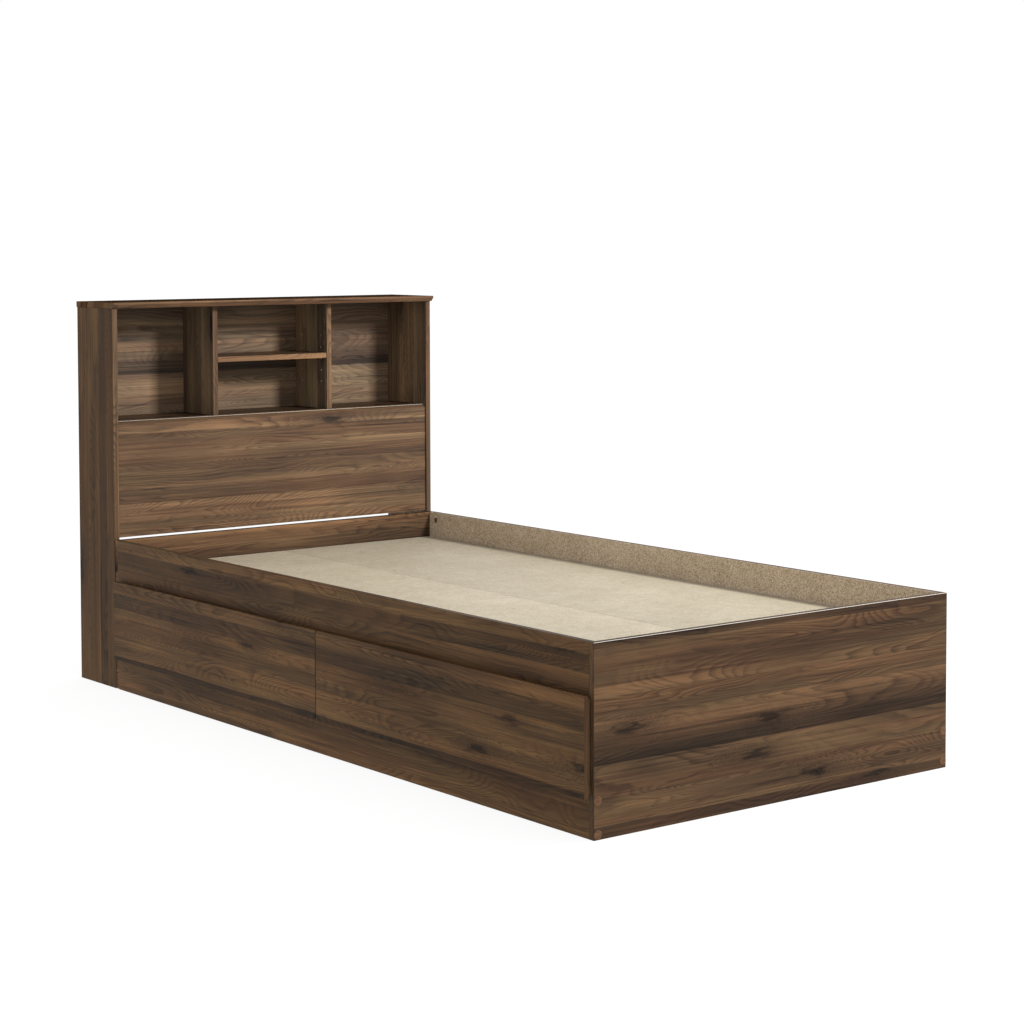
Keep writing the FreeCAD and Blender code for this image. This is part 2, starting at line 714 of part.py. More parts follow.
def strips(label, face, inward, sections):
    """Lengths of folded steel: start, length, near and far from the wall, low and height."""
    pieces = []
    for start, length, near, far, low, height in sections:
        side, width = between(face, inward, near, far)
        pieces.append(block(label, "strip", (start, side, low), (length, width, height)))
    return pieces


def axle(label, face, inward, near, far, start):
    item = new("Part::Cylinder", label, "axle")
    bind(item, Radius="AxleRadius", Height=f"({far}) - ({near})")
    return place(item, along((start, face, "AxleLevel"), inward + "Y", near), turn(inward + "Y"))


def folded(label, pieces):
    runner = new("Part::MultiFuse", label, "fused")
    runner.Shapes = pieces
    runner.Refine = True
    finish(label, runner)


def case_runner(name, side, face, inward):
    """Fixed channel: web on the wall, floor with a lip, and a hook over the rear roller."""
    label = f"{name}_case_runner_{side}"
    start, length = "CaseStart + CaseMouth", "CaseLength - CaseMouth"
    pieces = strips(label, face, inward, [
        ("CaseStart", "CaseLength", "0", "Steel", "RunnerLevel", "CaseHeight"),
        (start, length, "0", "CaseWidth", "RunnerLevel", "Steel"),
        (start, length, "CaseWidth - Steel", "CaseWidth", "RunnerLevel", "CaseLip"),
        (start, length, "0", "CaseLip", "RunnerLevel + CaseHeight - Steel", "Steel"),
    ])
    folded(label, pieces + [axle(label, face, inward, "0", "FrontRollerFar", "CaseAxle")])


def drawer_runner(name, side, face, inward):
    """Moving angle: foot under the drawer side, web, and a hook over the front roller."""
    label = f"{name}_drawer_runner_{side}"
    start, length, web_far = "DrawerStart", "DrawerDepth", "MemberWeb + Steel"
    pieces = strips(label, face, inward, [
        (start, length, "MemberWeb", "RunnerGap + MemberFoot", "DrawerLow - Steel", "Steel"),
        (start, length, "MemberWeb", web_far, "DrawerLow - Steel", "MemberTop + 2 * Steel - RunnerDrop"),
        (start, length, "MemberReach", web_far, "RunnerLevel + MemberTop", "Steel"),
    ])
    folded(label, pieces + [axle(label, face, inward, "RearRollerNear", web_far, "RearAxle")])


RUNNER_SCREWS = {
    "right": ("RunnerScrewFirst", "RunnerScrewSecond"),
    "left": ("RunnerScrewFirst + RunnerScrewShift", "RunnerScrewSecond + RunnerScrewShift"),
}


def join_runners(name):
    for side, wall, face, inward in walls(name):
        outward = OPPOSITE[inward + "Y"]
        for step in RUNNER_SCREWS[side]:
            on_web = (f"CaseStart + {step}", f"{face} {inward} Steel", "AxleLevel")
            fit("runner_screws", on_web, outward)
            bore(f"{name}_case_runner_{side}", on_web, outward, "ScrewRadius", "Steel")
            bore(wall, along(on_web, outward, "Steel"), outward, "ScrewRadius", "SmallScrewLength - Steel")
            under = (f"DrawerStart + {step}", f"{face} {inward} (RunnerGap + MemberFoot / 2)",
                     "DrawerLow - Steel")
            fit(f"{name}_drawer_runner_screws", under, "+Z")
            bore(f"{name}_drawer_runner_{side}", under, "+Z", "ScrewRadius", "Steel")
            bore(f"{name}_drawer_side_{side}", along(under, "+Z", "Steel"), "+Z",
                 "ScrewRadius", "SmallScrewLength - Steel")
        fit(f"{name}_front_rollers", along(("CaseAxle", face, "AxleLevel"), inward + "Y", "FrontRollerNear"),
            inward + "Y")
        fit(f"{name}_rear_rollers", along(("RearAxle", face, "AxleLevel"), inward + "Y", "RearRollerNear"),
            inward + "Y")


# ---------------------------------------------------------------- masters of the fittings
# Each is turned about Z with its mouth at the origin and +Z along the way it points.

def cam_lock():
    """A cam with a cross slot in its face and a bore in its side for the bolt's head."""
    drum = turned("cam_master", [("0", "0"), ("CamRadius", "0"), ("CamRadius", "CamDepth"), ("0", "CamDepth")])
    side_bore = new("Part::Cylinder", "cam_master", "bore")
    bind(side_bore, Radius="BoltRadius + DrillPlay", Height="2 * CamRadius")
    place(side_bore, ("0", "0", "Board / 2"), turn("+X"))
    slots = [block("cam_master", "slot", (f"-{reach}", f"-{width}", "-CamSlotDepth"),
                   (f"2 * {reach}", f"2 * {width}", "2 * CamSlotDepth"))
             for reach, width in (("CamSlotReach", "CamSlot / 2"), ("CamSlot / 2", "CamSlotReach"))]
    cuts = new("Part::Compound", "cam_master", "cuts")
    cuts.Links = [side_bore] + slots
    cam = new("Part::Cut", "cam_master", "cut")
    cam.Base = drum
    cam.Tool = cuts
    return cam


def cam_bolt():
    end = "CamInset - BoltShort"
    return turned("bolt_master", [
        ("0", "-BoltThread"), ("BoltRadius", "-BoltThread"), ("BoltRadius", "0"), ("BoltNeck", "0"),
        ("BoltNeck", f"{end} - BoltHead"), ("BoltRadius", f"{end} - BoltHead"), ("BoltRadius", end),
        ("0", end)])


def dowel():
    return turned("dowel_master", [
        ("0", "-DowelLong"), ("DowelRadius - DowelEase", "-DowelLong"),
        ("DowelRadius", "DowelEase - DowelLong"), ("DowelRadius", "DowelShort - DowelEase"),
        ("DowelRadius - DowelEase", "DowelShort"), ("0", "DowelShort")])


def pointed(label, head_radius, head_start, head_end, radius, length):
    """A nail or screw: a flat head, a shank and a point."""
    return turned(label, [
        ("0", head_start), (head_radius, head_start), (head_radius, head_end), (radius, head_end),
        (radius, f"{length} - 2 * {radius}"), ("0", length)])


def wood_screw_master():
    return turned("wood_screw_master", [
        ("0", "0"), ("ScrewHeadRadius", "0"), ("ScrewRadius", "ScrewHead"),
        ("ScrewRadius", "ScrewLength - 2 * ScrewRadius"), ("0", "ScrewLength")])


def cover_cap():
    return turned("cap_master", [
        ("0", "0"), ("CapRadius", "0"), ("CapRadius", "CapThick - CapEase"),
        ("CapRadius - CapEase", "CapThick"), ("0", "CapThick")])


def shelf_pin():
    return turned("pin_master", [
        ("0", "-PinDepth"), ("PinRadius", "-PinDepth"), ("PinRadius", "0"), ("CollarRadius", "0"),
        ("CollarRadius", "CollarThick"), ("PinRadius", "CollarThick"), ("PinRadius", "PinReach"),
        ("0", "PinReach")])


def roller(label, width):
    """A plastic roller with eased rims and a running bore for its axle."""
    inner = "AxleRadius + AxleFit"
    return turned(label, [
        (inner, "0"), ("RollerRadius - EdgeEase", "0"), ("RollerRadius", "EdgeEase"),
        ("RollerRadius", f"{width} - EdgeEase"), ("RollerRadius - EdgeEase", width), (inner, width)])


def fittings():
    cam, bolt = cam_lock(), cam_bolt()
    small_screw = pointed("small_screw_master", "WaferRadius", "-WaferThick", "0", "ScrewRadius",
                          "SmallScrewLength")
    masters = {
        "cam_locks": cam,
        "cam_bolts": bolt,
        "dowels": dowel(),
        "back_nails": pointed("nail_master", "NailHeadRadius", "-NailHead", "0", "NailRadius", "NailLength"),
        "wood_screws": wood_screw_master(),
        "runner_screws": small_screw,
        "foot_screws": pointed("foot_screw_master", "FootScrewHeadRadius", "0", "FootScrewHead",
                               "FootScrewRadius", "FootScrewLength"),
        "cover_caps": cover_cap(),
        "shelf_pins": shelf_pin(),
    }
    front_roller = roller("front_roller_master", "FrontRollerFar - FrontRollerNear")
    rear_roller = roller("rear_roller_master", "RearRollerFar - RearRollerNear")
    for name in DRAWERS:
        masters[f"{name}_drawer_cam_locks"] = cam
        masters[f"{name}_drawer_cam_bolts"] = bolt
        masters[f"{name}_drawer_runner_screws"] = small_screw
        masters[f"{name}_front_rollers"] = front_roller
        masters[f"{name}_rear_rollers"] = rear_roller
    for label, master in masters.items():
        copies(label, master, SPOTS[label])


# ---------------------------------------------------------------- the whole bed

join_bed_corners()
join_headboard()
join_dividers()
join_shelf_back()
join_platform()
for drawer in DRAWERS:
    join_drawer_front(drawer)
    join_runners(drawer)

headboard_end("left", "Left", "InnerLeft - RabbetWidth")
headboard_end("right", "InnerRight", "InnerRight")
headboard_top()
headboard_front_panel()
headboard_shelves()
headboard_back()
bed_panels()
cross_walls()
platform()
for drawer in DRAWERS:
    drawer_front(drawer)
    drawer_sides(drawer)
    drawer_back_and_bottom(drawer)
    for hand, wall_board, wall_face, into_opening in walls(drawer):
        case_runner(drawer, hand, wall_face, into_opening)
        drawer_runner(drawer, hand, wall_face, into_opening)
fittings()
doc.recompute()

for item in doc.Objects:
    if "Invalid" in item.State or "Error" in item.State:
        raise RuntimeError(f"{item.Label} failed: {item.State}")
for label, item in NODES.items():
    if item.Shape.isNull() or not item.Shape.isValid() or not item.Shape.Solids:
        raise RuntimeError(f"{label} has no valid shape")
for label, item in NODES.items():
    item.Shape.exportStep(f"parts/{label}.step")
print(len(NODES), "sub-parts written")
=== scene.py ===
import math

import bpy
from mathutils import Matrix, Vector


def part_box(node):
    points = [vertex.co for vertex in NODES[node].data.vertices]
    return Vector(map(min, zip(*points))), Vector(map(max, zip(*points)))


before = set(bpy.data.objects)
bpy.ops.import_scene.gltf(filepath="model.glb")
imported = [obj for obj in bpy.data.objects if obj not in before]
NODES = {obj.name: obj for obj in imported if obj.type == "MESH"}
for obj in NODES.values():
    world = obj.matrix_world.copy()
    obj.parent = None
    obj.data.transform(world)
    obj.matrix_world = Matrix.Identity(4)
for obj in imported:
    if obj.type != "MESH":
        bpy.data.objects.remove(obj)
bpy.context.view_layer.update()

# Twin platform bed with a bookcase headboard and two drawers, in metres, in the CAD's frame:
# +Z up, +Y from the foot to the headboard, the drawers on the -X side.

MM = 0.001
DRAWERS = ("foot", "head")
HANDS = ("left", "right")
AXES = "XYZ"


# ---------------------------------------------------------------- node trees

def srgb(red, green, blue):
    """A colour of 0-255 screen values, as the linear values that shaders use."""
    def linear(value):
        value /= 255
        return value / 12.92 if value <= 0.04045 else ((value + 0.055) / 1.055) ** 2.4
    return (linear(red), linear(green), linear(blue), 1.0)


def grey(level):
    return (level, level, level, 1.0)


class Tree:
    """Short ways to add shader nodes. Each returns the output socket that is used next."""

    def __init__(self, tree):
        self.tree = tree

    def node(self, kind, **settings):
        node = self.tree.nodes.new(kind)
        for name, value in settings.items():
            setattr(node, name, value)
        return node

    def feed(self, socket, value):
        if isinstance(value, bpy.types.NodeSocket):
            self.tree.links.new(value, socket)
        elif value is not None:
            socket.default_value = value

    def math(self, operation, first, second=None):
        node = self.node("ShaderNodeMath", operation=operation)
        self.feed(node.inputs[0], first)
        self.feed(node.inputs[1], second)
        return node.outputs[0]

    def add(self, *terms):
        total = terms[0]
        for term in terms[1:]:
            total = self.math("ADD", total, term)
        return total

    def times(self, first, second):
        return self.math("MULTIPLY", first, second)

    def centred(self, value, reach):
        """A 0-1 value as an offset of at most reach / 2 either way."""
        return self.times(self.math("SUBTRACT", value, 0.5), reach)

    def split(self, vector):
        node = self.node("ShaderNodeSeparateXYZ")
        self.feed(node.inputs[0], vector)
        return tuple(node.outputs)

    def join(self, x, y, z=0.0):
        node = self.node("ShaderNodeCombineXYZ")
        for socket, value in zip(node.inputs, (x, y, z)):
            self.feed(socket, value)
        return node.outputs[0]

    def noise(self, vector, detail=2.0, roughness=0.5, distortion=0.0, scale=1.0, dimensions="2D"):
        node = self.node("ShaderNodeTexNoise", noise_dimensions=dimensions)
        for name, value in (("Vector", vector), ("Scale", scale), ("Detail", detail),
                            ("Roughness", roughness), ("Distortion", distortion)):
            self.feed(node.inputs[name], value)
        return node.outputs[0]

    def cells(self, vector, feature="F1", scale=1.0, dimensions="2D"):
        """A Voronoi texture's outputs, for its distances and colours."""
        node = self.node("ShaderNodeTexVoronoi", voronoi_dimensions=dimensions, feature=feature)
        self.feed(node.inputs["Vector"], vector)
        self.feed(node.inputs["Scale"], scale)
        return node.outputs

    def span(self, value, low, high, to_low=0.0, to_high=1.0):
        """A smooth step from to_low at low to to_high at high."""
        node = self.node("ShaderNodeMapRange", interpolation_type="SMOOTHSTEP")
        for socket, number in zip(node.inputs, (value, low, high, to_low, to_high)):
            self.feed(socket, number)
        return node.outputs[0]

    def ramp(self, value, stops, interpolation="LINEAR"):
        """Colours by place from 0 to 1; stops are (place, colour or grey level)."""
        node = self.node("ShaderNodeValToRGB")
        node.color_ramp.interpolation = interpolation
        elements = node.color_ramp.elements
        while len(elements) < len(stops):
            elements.new(0.5)
        for element, (place, colour) in zip(elements, stops):
            element.position = place
            element.color = colour if isinstance(colour, tuple) else grey(colour)
        self.feed(node.inputs[0], value)
        return node.outputs[0]

    def mix(self, factor, first, second, blend="MIX"):
        """A mix of two colours; the node's other sockets serve its other data types."""
        node = self.node("ShaderNodeMix", data_type="RGBA", blend_type=blend)
        self.feed(node.inputs[0], factor)
        self.feed(node.inputs[6], first)
        self.feed(node.inputs[7], second)
        return node.outputs[2]

    def tint(self, colour, tint_and_painted_light):
        return self.mix(1.0, colour, tint_and_painted_light, "MULTIPLY")

    def bump(self, height, strength, distance, normal=None):
        node = self.node("ShaderNodeBump")
        self.feed(node.inputs["Height"], height)
        self.feed(node.inputs["Strength"], strength)
        self.feed(node.inputs["Distance"], distance)
        self.feed(node.inputs["Normal"], normal)
        return node.outputs[0]

    def place(self):
        """The point's place in the bed's frame, in metres."""
        return self.node("ShaderNodeTexCoord").outputs["Object"]

    def facing(self):
        """The parts of the surface normal along X, Y and Z."""
        return self.split(self.node("ShaderNodeNewGeometry").outputs["True Normal"])


def material(name):
    """A new material's tree and its shader."""
    made = bpy.data.materials.new(name)
    made.use_nodes = True
    return made, Tree(made.node_tree), made.node_tree.nodes["Principled BSDF"]


def finish(tree, shader, colour, roughness, normal=None, specular=0.5):
    tree.feed(shader.inputs["Base Color"], colour)
    tree.feed(shader.inputs["Roughness"], roughness)
    tree.feed(shader.inputs["Normal"], normal)
    shader.inputs["Specular IOR Level"].default_value = specular


def paint(made, *names):
    for name in names:
        NODES[name].data.materials.clear()
        NODES[name].data.materials.append(made)


def pattern_group(name, inputs, outputs):
    """An empty node group with float or vector inputs and the outputs named."""
    group = bpy.data.node_groups.new(name, "ShaderNodeTree")
    for label, kind in inputs:
        group.interface.new_socket(label, in_out="INPUT", socket_type=kind)
    for label, kind in outputs:
        group.interface.new_socket(label, in_out="OUTPUT", socket_type=kind)
    tree = Tree(group)
    return group, tree, tree.node("NodeGroupInput").outputs, tree.node("NodeGroupOutput").inputs


def use_group(tree, group, **values):
    node = tree.node("ShaderNodeGroup")
    node.node_tree = group
    for label, value in values.items():
        tree.feed(node.inputs[label], value)
    return node.outputs


# ---------------------------------------------------------------- walnut print

REPEAT = 0.39               # width of the printed pattern before it repeats
PLANKS = [                  # start within the repeat, then the tones at the plank's two sides
    (0.000, 0.42, 0.38),
    (0.100, 0.60, 0.56),
    (0.262, 0.61, 0.58),
    (0.415, 0.25, 0.66),
    (0.635, 0.50, 0.55),
    (0.745, 0.62, 0.44),
    (0.885, 0.50, 0.58),
]
SEAM = 0.004                # share of the repeat over which one plank gives way to the next
SWAY = 0.014                # how far the planks' seams wander
PLANK_SHIFT = (9.0, 3.0)    # each plank is cut from anywhere this far along and across the wood
ROW_STEP = 5.3              # keeps the planks of one repeat apart from those of the next
DEPTH_SHIFT = 0.35          # moves the print across with depth, so that no two boards in a row match
BASE_TONE = 0.045
OLIVE = (0.97, 1.00, 0.98, 1.0)
RUDDY = (1.05, 0.98, 0.95, 1.0)
WALNUT = [
    (0.00, srgb(22, 17, 14)),
    (0.25, srgb(50, 39, 31)),
    (0.45, srgb(74, 56, 42)),
    (0.60, srgb(95, 73, 53)),
    (0.80, srgb(127, 97, 69)),
    (1.00, srgb(158, 124, 90)),
]


def plank_tone_stops():
    """The slow tone across the planks, with a step at each seam."""
    stops = []
    ends = [start for start, near, far in PLANKS[1:]] + [1.0]
    for (start, near, far), end in zip(PLANKS, ends):
        stops += [(start, near), (end - SEAM, far)]
    return stops


def plank_number_stops():
    """A level of its own for each plank."""
    return [(start, index / len(PLANKS)) for index, (start, near, far) in enumerate(PLANKS)]


def walnut_group():
    """The printed walnut. Grain holds (along, across, depth) in metres."""
    group, tree, given, result = pattern_group(
        "walnut_print",
        [("Grain", "NodeSocketVector")],
        [("Color", "NodeSocketColor"), ("Height", "NodeSocketFloat"), ("Polish", "NodeSocketFloat")])
    along, across, depth = tree.split(given["Grain"])
    across = tree.add(across, tree.times(depth, DEPTH_SHIFT))

    # Planks laid side by side, each a different piece of wood.
    sway = tree.noise(tree.join(tree.times(along, 1.6), tree.times(across, 3.0)))
    row = tree.times(tree.add(across, tree.centred(sway, SWAY)), 1 / REPEAT)
    within = tree.math("FRACT", row)
    plank_tone = tree.ramp(within, plank_tone_stops())
    number = tree.ramp(within, plank_number_stops(), "CONSTANT")
    lottery = tree.node("ShaderNodeTexWhiteNoise", noise_dimensions="1D")
    tree.feed(lottery.inputs["W"], tree.add(number, tree.times(tree.math("FLOOR", row), ROW_STEP)))
    shift, lift, shade = tree.split(lottery.outputs["Color"])
    plank_along = tree.add(along, tree.times(shift, PLANK_SHIFT[0]))
    plank_across = tree.add(across, tree.times(lift, PLANK_SHIFT[1]))

    def stretched(lengthwise, crosswise, **settings):
        vector = tree.join(tree.times(plank_along, lengthwise), tree.times(plank_across, crosswise))
        return tree.noise(vector, **settings)

    # Knots, each a dark heart that pushes the rings aside.
    knots = tree.cells(tree.join(tree.times(plank_along, 2.6), tree.times(plank_across, 9.0)))
    chosen = tree.math("GREATER_THAN", tree.split(knots["Color"])[0], 0.80)
    fraying = stretched(24.0, 130.0, detail=4.0)
    ragged = tree.add(knots["Distance"], tree.centred(fraying, 0.26))
    near_knot = tree.times(tree.span(ragged, 0.38, 0.0), chosen)
    knot_heart = tree.times(tree.span(ragged, 0.13, 0.02), chosen)

    # Growth rings: contour lines of a slow field, which closes arches and ovals.
    field = stretched(1.5, 10.0, detail=1.5, roughness=0.4, distortion=0.5)
    wobble = stretched(14.0, 70.0, detail=2.0, roughness=0.5)
    phase = tree.add(tree.times(field, 30.0), tree.times(plank_across, 40.0), tree.times(wobble, 0.7),
                     tree.times(near_knot, 6.0))
    ring = tree.ramp(tree.math("FRACT", phase),
                     [(0.0, 0.45), (0.07, 0.05), (0.45, 0.15), (0.80, 0.70), (0.93, 1.0), (1.0, 0.45)])
    ring_depth = tree.span(stretched(2.2, 16.0, detail=2.0), 0.32, 0.66, 0.25, 1.0)
    ring = tree.times(ring, ring_depth)

    # Streaks and fibres that run along the grain.
    band = stretched(0.7, 46.0, detail=3.0, roughness=0.6)
    streak = stretched(2.6, 230.0, detail=4.0, roughness=0.7)
    fibre = stretched(16.0, 1300.0, detail=2.0, roughness=0.6)
    pore = tree.span(stretched(26.0, 1700.0, detail=1.0), 0.60, 0.72)
    dark_vein = tree.span(stretched(1.4, 90.0, detail=2.5, distortion=0.4), 0.62, 0.74)
    cloud = tree.noise(tree.join(tree.times(along, 2.2), tree.times(across, 10.0)), detail=2.5)

    tone = tree.add(
        BASE_TONE,
        plank_tone,
        tree.centred(shade, 0.08),
        tree.centred(cloud, 0.34),
        tree.centred(band, 0.30),
        tree.centred(streak, 0.38),
        tree.centred(fibre, 0.12),
        tree.times(ring, -0.19),
        tree.times(dark_vein, -0.14),
        tree.times(near_knot, -0.10),
        tree.times(knot_heart, -0.24),
        tree.times(pore, -0.05),
    )
    colour = tree.ramp(tone, WALNUT)
    warmth = tree.noise(tree.join(tree.times(plank_along, 1.2), tree.times(plank_across, 24.0)), detail=2.0)
    olive = tree.tint(colour, OLIVE)
    ruddy = tree.tint(colour, RUDDY)
    colour = tree.mix(tree.span(warmth, 0.35, 0.65), olive, ruddy)

    tree.feed(result["Color"], colour)
    tree.feed(result["Height"], tree.add(tree.times(fibre, 0.35), tree.times(streak, 0.30),
                                         tree.times(pore, -0.55), tree.times(ring, -0.15)))
    tree.feed(result["Polish"], tree.add(0.44, tree.times(pore, 0.14), tree.centred(streak, 0.12)))
    return group


# ---------------------------------------------------------------- particleboard

def particle_group():
    """Raw particleboard: flat chips of mixed tone and direction, with dark specks between."""
    group, tree, given, result = pattern_group(
        "particleboard",
        [("Place", "NodeSocketVector")],
        [("Color", "NodeSocketColor"), ("Height", "NodeSocketFloat")])
    place = given["Place"]
    chips = tree.cells(place, dimensions="3D", scale=430.0)
    fine = tree.cells(place, dimensions="3D", scale=900.0)
    gaps = tree.cells(place, dimensions="3D", scale=430.0, feature="DISTANCE_TO_EDGE")["Distance"]
    big = tree.noise(place, dimensions="3D", scale=9.0, detail=3.0)
    chip_tone = tree.split(chips["Color"])[0]
    fine_tone = tree.split(fine["Color"])[1]
    tone = tree.add(0.5, tree.centred(chip_tone, 0.55), tree.centred(fine_tone, 0.35),
                    tree.centred(big, 0.35), tree.span(gaps, 0.10, 0.0, 0.0, -0.10))
    colour = tree.ramp(tone, [
        (0.0, srgb(120, 103, 82)), (0.25, srgb(160, 141, 117)), (0.5, srgb(190, 171, 147)),
        (0.75, srgb(206, 190, 167)), (1.0, srgb(224, 211, 190))])
    tree.feed(result["Color"], colour)
    tree.feed(result["Height"], tree.add(tree.times(chip_tone, 0.5), tree.times(fine_tone, 0.3),
                                         tree.span(gaps, 0.0, 0.12)))
    return group


def hardboard_group():
    """Smooth brown hardboard with felted fibres."""
    group, tree, given, result = pattern_group(
        "hardboard",
        [("Place", "NodeSocketVector")],
        [("Color", "NodeSocketColor"), ("Height", "NodeSocketFloat")])
    place = given["Place"]
    felt = tree.noise(place, dimensions="3D", scale=650.0, detail=4.0, roughness=0.7, distortion=0.6)
    cloud = tree.noise(place, dimensions="3D", scale=14.0, detail=3.0)
    tone = tree.add(0.5, tree.centred(felt, 0.7), tree.centred(cloud, 0.4))
    colour = tree.ramp(tone, [(0.0, srgb(82, 60, 41)), (0.5, srgb(114, 87, 62)), (1.0, srgb(146, 116, 86))])
    tree.feed(result["Color"], colour)
    tree.feed(result["Height"], felt)
    return group


WALNUT_PRINT = walnut_group()
PARTICLES = particle_group()
HARDBOARD = hardboard_group()


# ---------------------------------------------------------------- laminated boards

SKIN = 0.8 * MM             # deeper than this inside a board its core shows
ALL_SKIN = 20 * MM          # for boards whose bores stay out of sight but whose bevels are printed
SHEEN = 0.05                # specular level of the matt print
FACE_LEAN = 0.6             # part of the normal along an axis above which a face points that way
BEVEL_LEAN = 0.3            # and above which a bevel counts as part of the front
# width and colour of the painted highlight along the top arris of a front
HIGHLIGHT_WIDTH = 0.9 * MM
HIGHLIGHT_COLOUR = srgb(236, 228, 216)


def grain_vector(tree, grain, offset, flip):
    """The point as (along, across, depth) of a board; grain is its grain and thickness axes."""
    parts = tree.split(tree.place())
    along, depth = AXES.index(grain[0]), AXES.index(grain[1])
    across = 3 - along - depth
    shift_along, shift_across = offset
    crosswise = tree.times(parts[across], -1.0) if flip else parts[across]
    return tree.join(tree.add(parts[along], shift_along), tree.add(crosswise, shift_across), parts[depth])


def inside_mask(tree, low, high, skin):
    """1 where the surface lies deeper than skin inside the board's box, as in a bore."""
    nearest = None
    for part, start, end in zip(tree.split(tree.place()), low, high):
        margin = tree.math("MINIMUM", tree.math("SUBTRACT", part, start), tree.math("SUBTRACT", end, part))
        nearest = margin if nearest is None else tree.math("MINIMUM", nearest, margin)
    return tree.math("GREATER_THAN", nearest, skin)


def face_mask(tree, face):
    """1 on the faces that point a way such as "-X"."""
    sign = 1.0 if face[0] == "+" else -1.0
    part = tree.facing()[AXES.index(face[1])]
    return tree.math("GREATER_THAN", tree.times(part, sign), FACE_LEAN)


def painted_highlight_mask(tree, high):
    """1 on a front face within a hair of the board's top edge: a painted highlight of the light that the
    top arris catches.
    """
    front = tree.math("LESS_THAN", tree.facing()[1], -BEVEL_LEAN)
    top = tree.math("GREATER_THAN", tree.split(tree.place())[2], high.z - HIGHLIGHT_WIDTH)
    return tree.times(front, top)


def tape_vector(tree, face, run, offset):
    """The point as (along, across, depth) of the sheet on a face, whose grain runs along an axis."""
    parts = tree.split(tree.place())
    along = AXES.index(run)
    across = 3 - along - AXES.index(face[1])
    return tree.join(tree.add(parts[along], offset[0]), tree.add(parts[across], offset[1]))


def laminated(name, grain, offset, tapes=(), raw_faces=(), core=PARTICLES, tint_and_painted_light=(1.0, 1.0, 1.0),
              arris_highlight=0.0, skin=SKIN, flip=False, bore_painted_light=1.0, specular=SHEEN):
    """A board printed with walnut.

    grain is the axes of the grain and of the thickness, offset is where the board is cut from the
    print, and flip turns the print over. tapes are (face, axis it runs along, brightness) of faces
    with a print of their own. raw_faces are left bare, such as "-X", as is what lies deeper than
    skin inside the board, in its bores. cast multiplies the print's colour as painted light and
    shade, and bore_painted_light multiplies the bare board's as painted light in the bores. line is the
    strength of a painted highlight along the top of the front."""
    low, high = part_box(name)
    made, tree, shader = material(name + "_print")
    printed = use_group(tree, WALNUT_PRINT, Grain=grain_vector(tree, grain, offset, flip))
    # the print's colour times cast: painted light and shade
    colour = tree.tint(printed["Color"], (*tint_and_painted_light, 1.0))
    for face, run, brightness in tapes:
        tape = use_group(tree, WALNUT_PRINT, Grain=tape_vector(tree, face, run, offset))
        colour = tree.mix(face_mask(tree, face), colour, tree.tint(tape["Color"], grey(brightness)))
    # a painted highlight along the top arris of the front
    if arris_highlight:
        colour = tree.mix(tree.times(painted_highlight_mask(tree, high), arris_highlight), colour, HIGHLIGHT_COLOUR)

    bare = inside_mask(tree, low, high, skin)
    for face in raw_faces:
        bare = tree.math("MAXIMUM", bare, face_mask(tree, face))
    inner = use_group(tree, core, Place=tree.place())
    # the bare core's colour times bore_painted_light: painted light in the bores
    colour = tree.mix(bare, colour, tree.tint(inner["Color"], grey(bore_painted_light)))
    fine = tree.bump(printed["Height"], 0.35, 0.10 * MM)
    coarse = tree.bump(tree.times(inner["Height"], bare), 0.6, 0.25 * MM, fine)
    roughness = tree.add(printed["Polish"], tree.times(bare, 0.40))
    finish(tree, shader, colour, roughness, coarse, specular)
    paint(made, name)


DARK_TOP_X = ("+Z", "X", 0.42)      # upper edges are dark
DARK_TOP_Y = ("+Z", "Y", 0.42)
DRAWER_END = ("-Y", "Z", 0.75)
# brings the drawers' side to the photo's tone under this light
SIDE_PAINTED_SHADE = (0.80, 0.76, 0.64)  # painted shade that darkens the drawers' side, which faces away from the lamp, to its tone under this light
CUBBY_PAINTED_LIGHT = (1.70, 2.05, 2.30)  # painted light that lifts the boards round the cubbies, which lie in the lamp's shade
# painted light that lifts the cubbies' back panel, which gets little light inside the cubbies
BACK_PAINTED_LIGHT = (1.36, 1.58, 1.88)

# cast in this table is painted light and shade: it darkens the left end's outer side, which faces away from
# the lamp, and brightens other boards to their tone under this light, most of all the right end's inner
# side in the cubby. line is a painted highlight along the top arris of the front.
laminated("headboard_end_left", "ZX", (0.3, 0.038), [("-Y", "Z", 1.25)], tint_and_painted_light=(0.65, 0.585, 0.44))
laminated("headboard_end_right", "ZX", (2.3, 0.30), [("-Y", "Z", 1.25)], tint_and_painted_light=(1.50, 1.75, 1.95))
# its top face is printed at 0.30 as a painted dark reflection, for what the top mirrors at its grazing view
laminated("headboard_top", "XZ", (1.7, 0.2), [("-Y", "X", 1.8), ("+Z", "X", 0.30)], skin=ALL_SKIN,
          specular=0.0)
laminated("headboard_front_panel", "XY", (4.1, 0.99), [("+Z", "X", 0.9)], tint_and_painted_light=(1.07, 1.12, 1.20),
          arris_highlight=0.4, skin=ALL_SKIN, flip=True)
laminated("fixed_shelf", "XZ", (7.1, 0.4), [("+Z", "X", 0.5)])
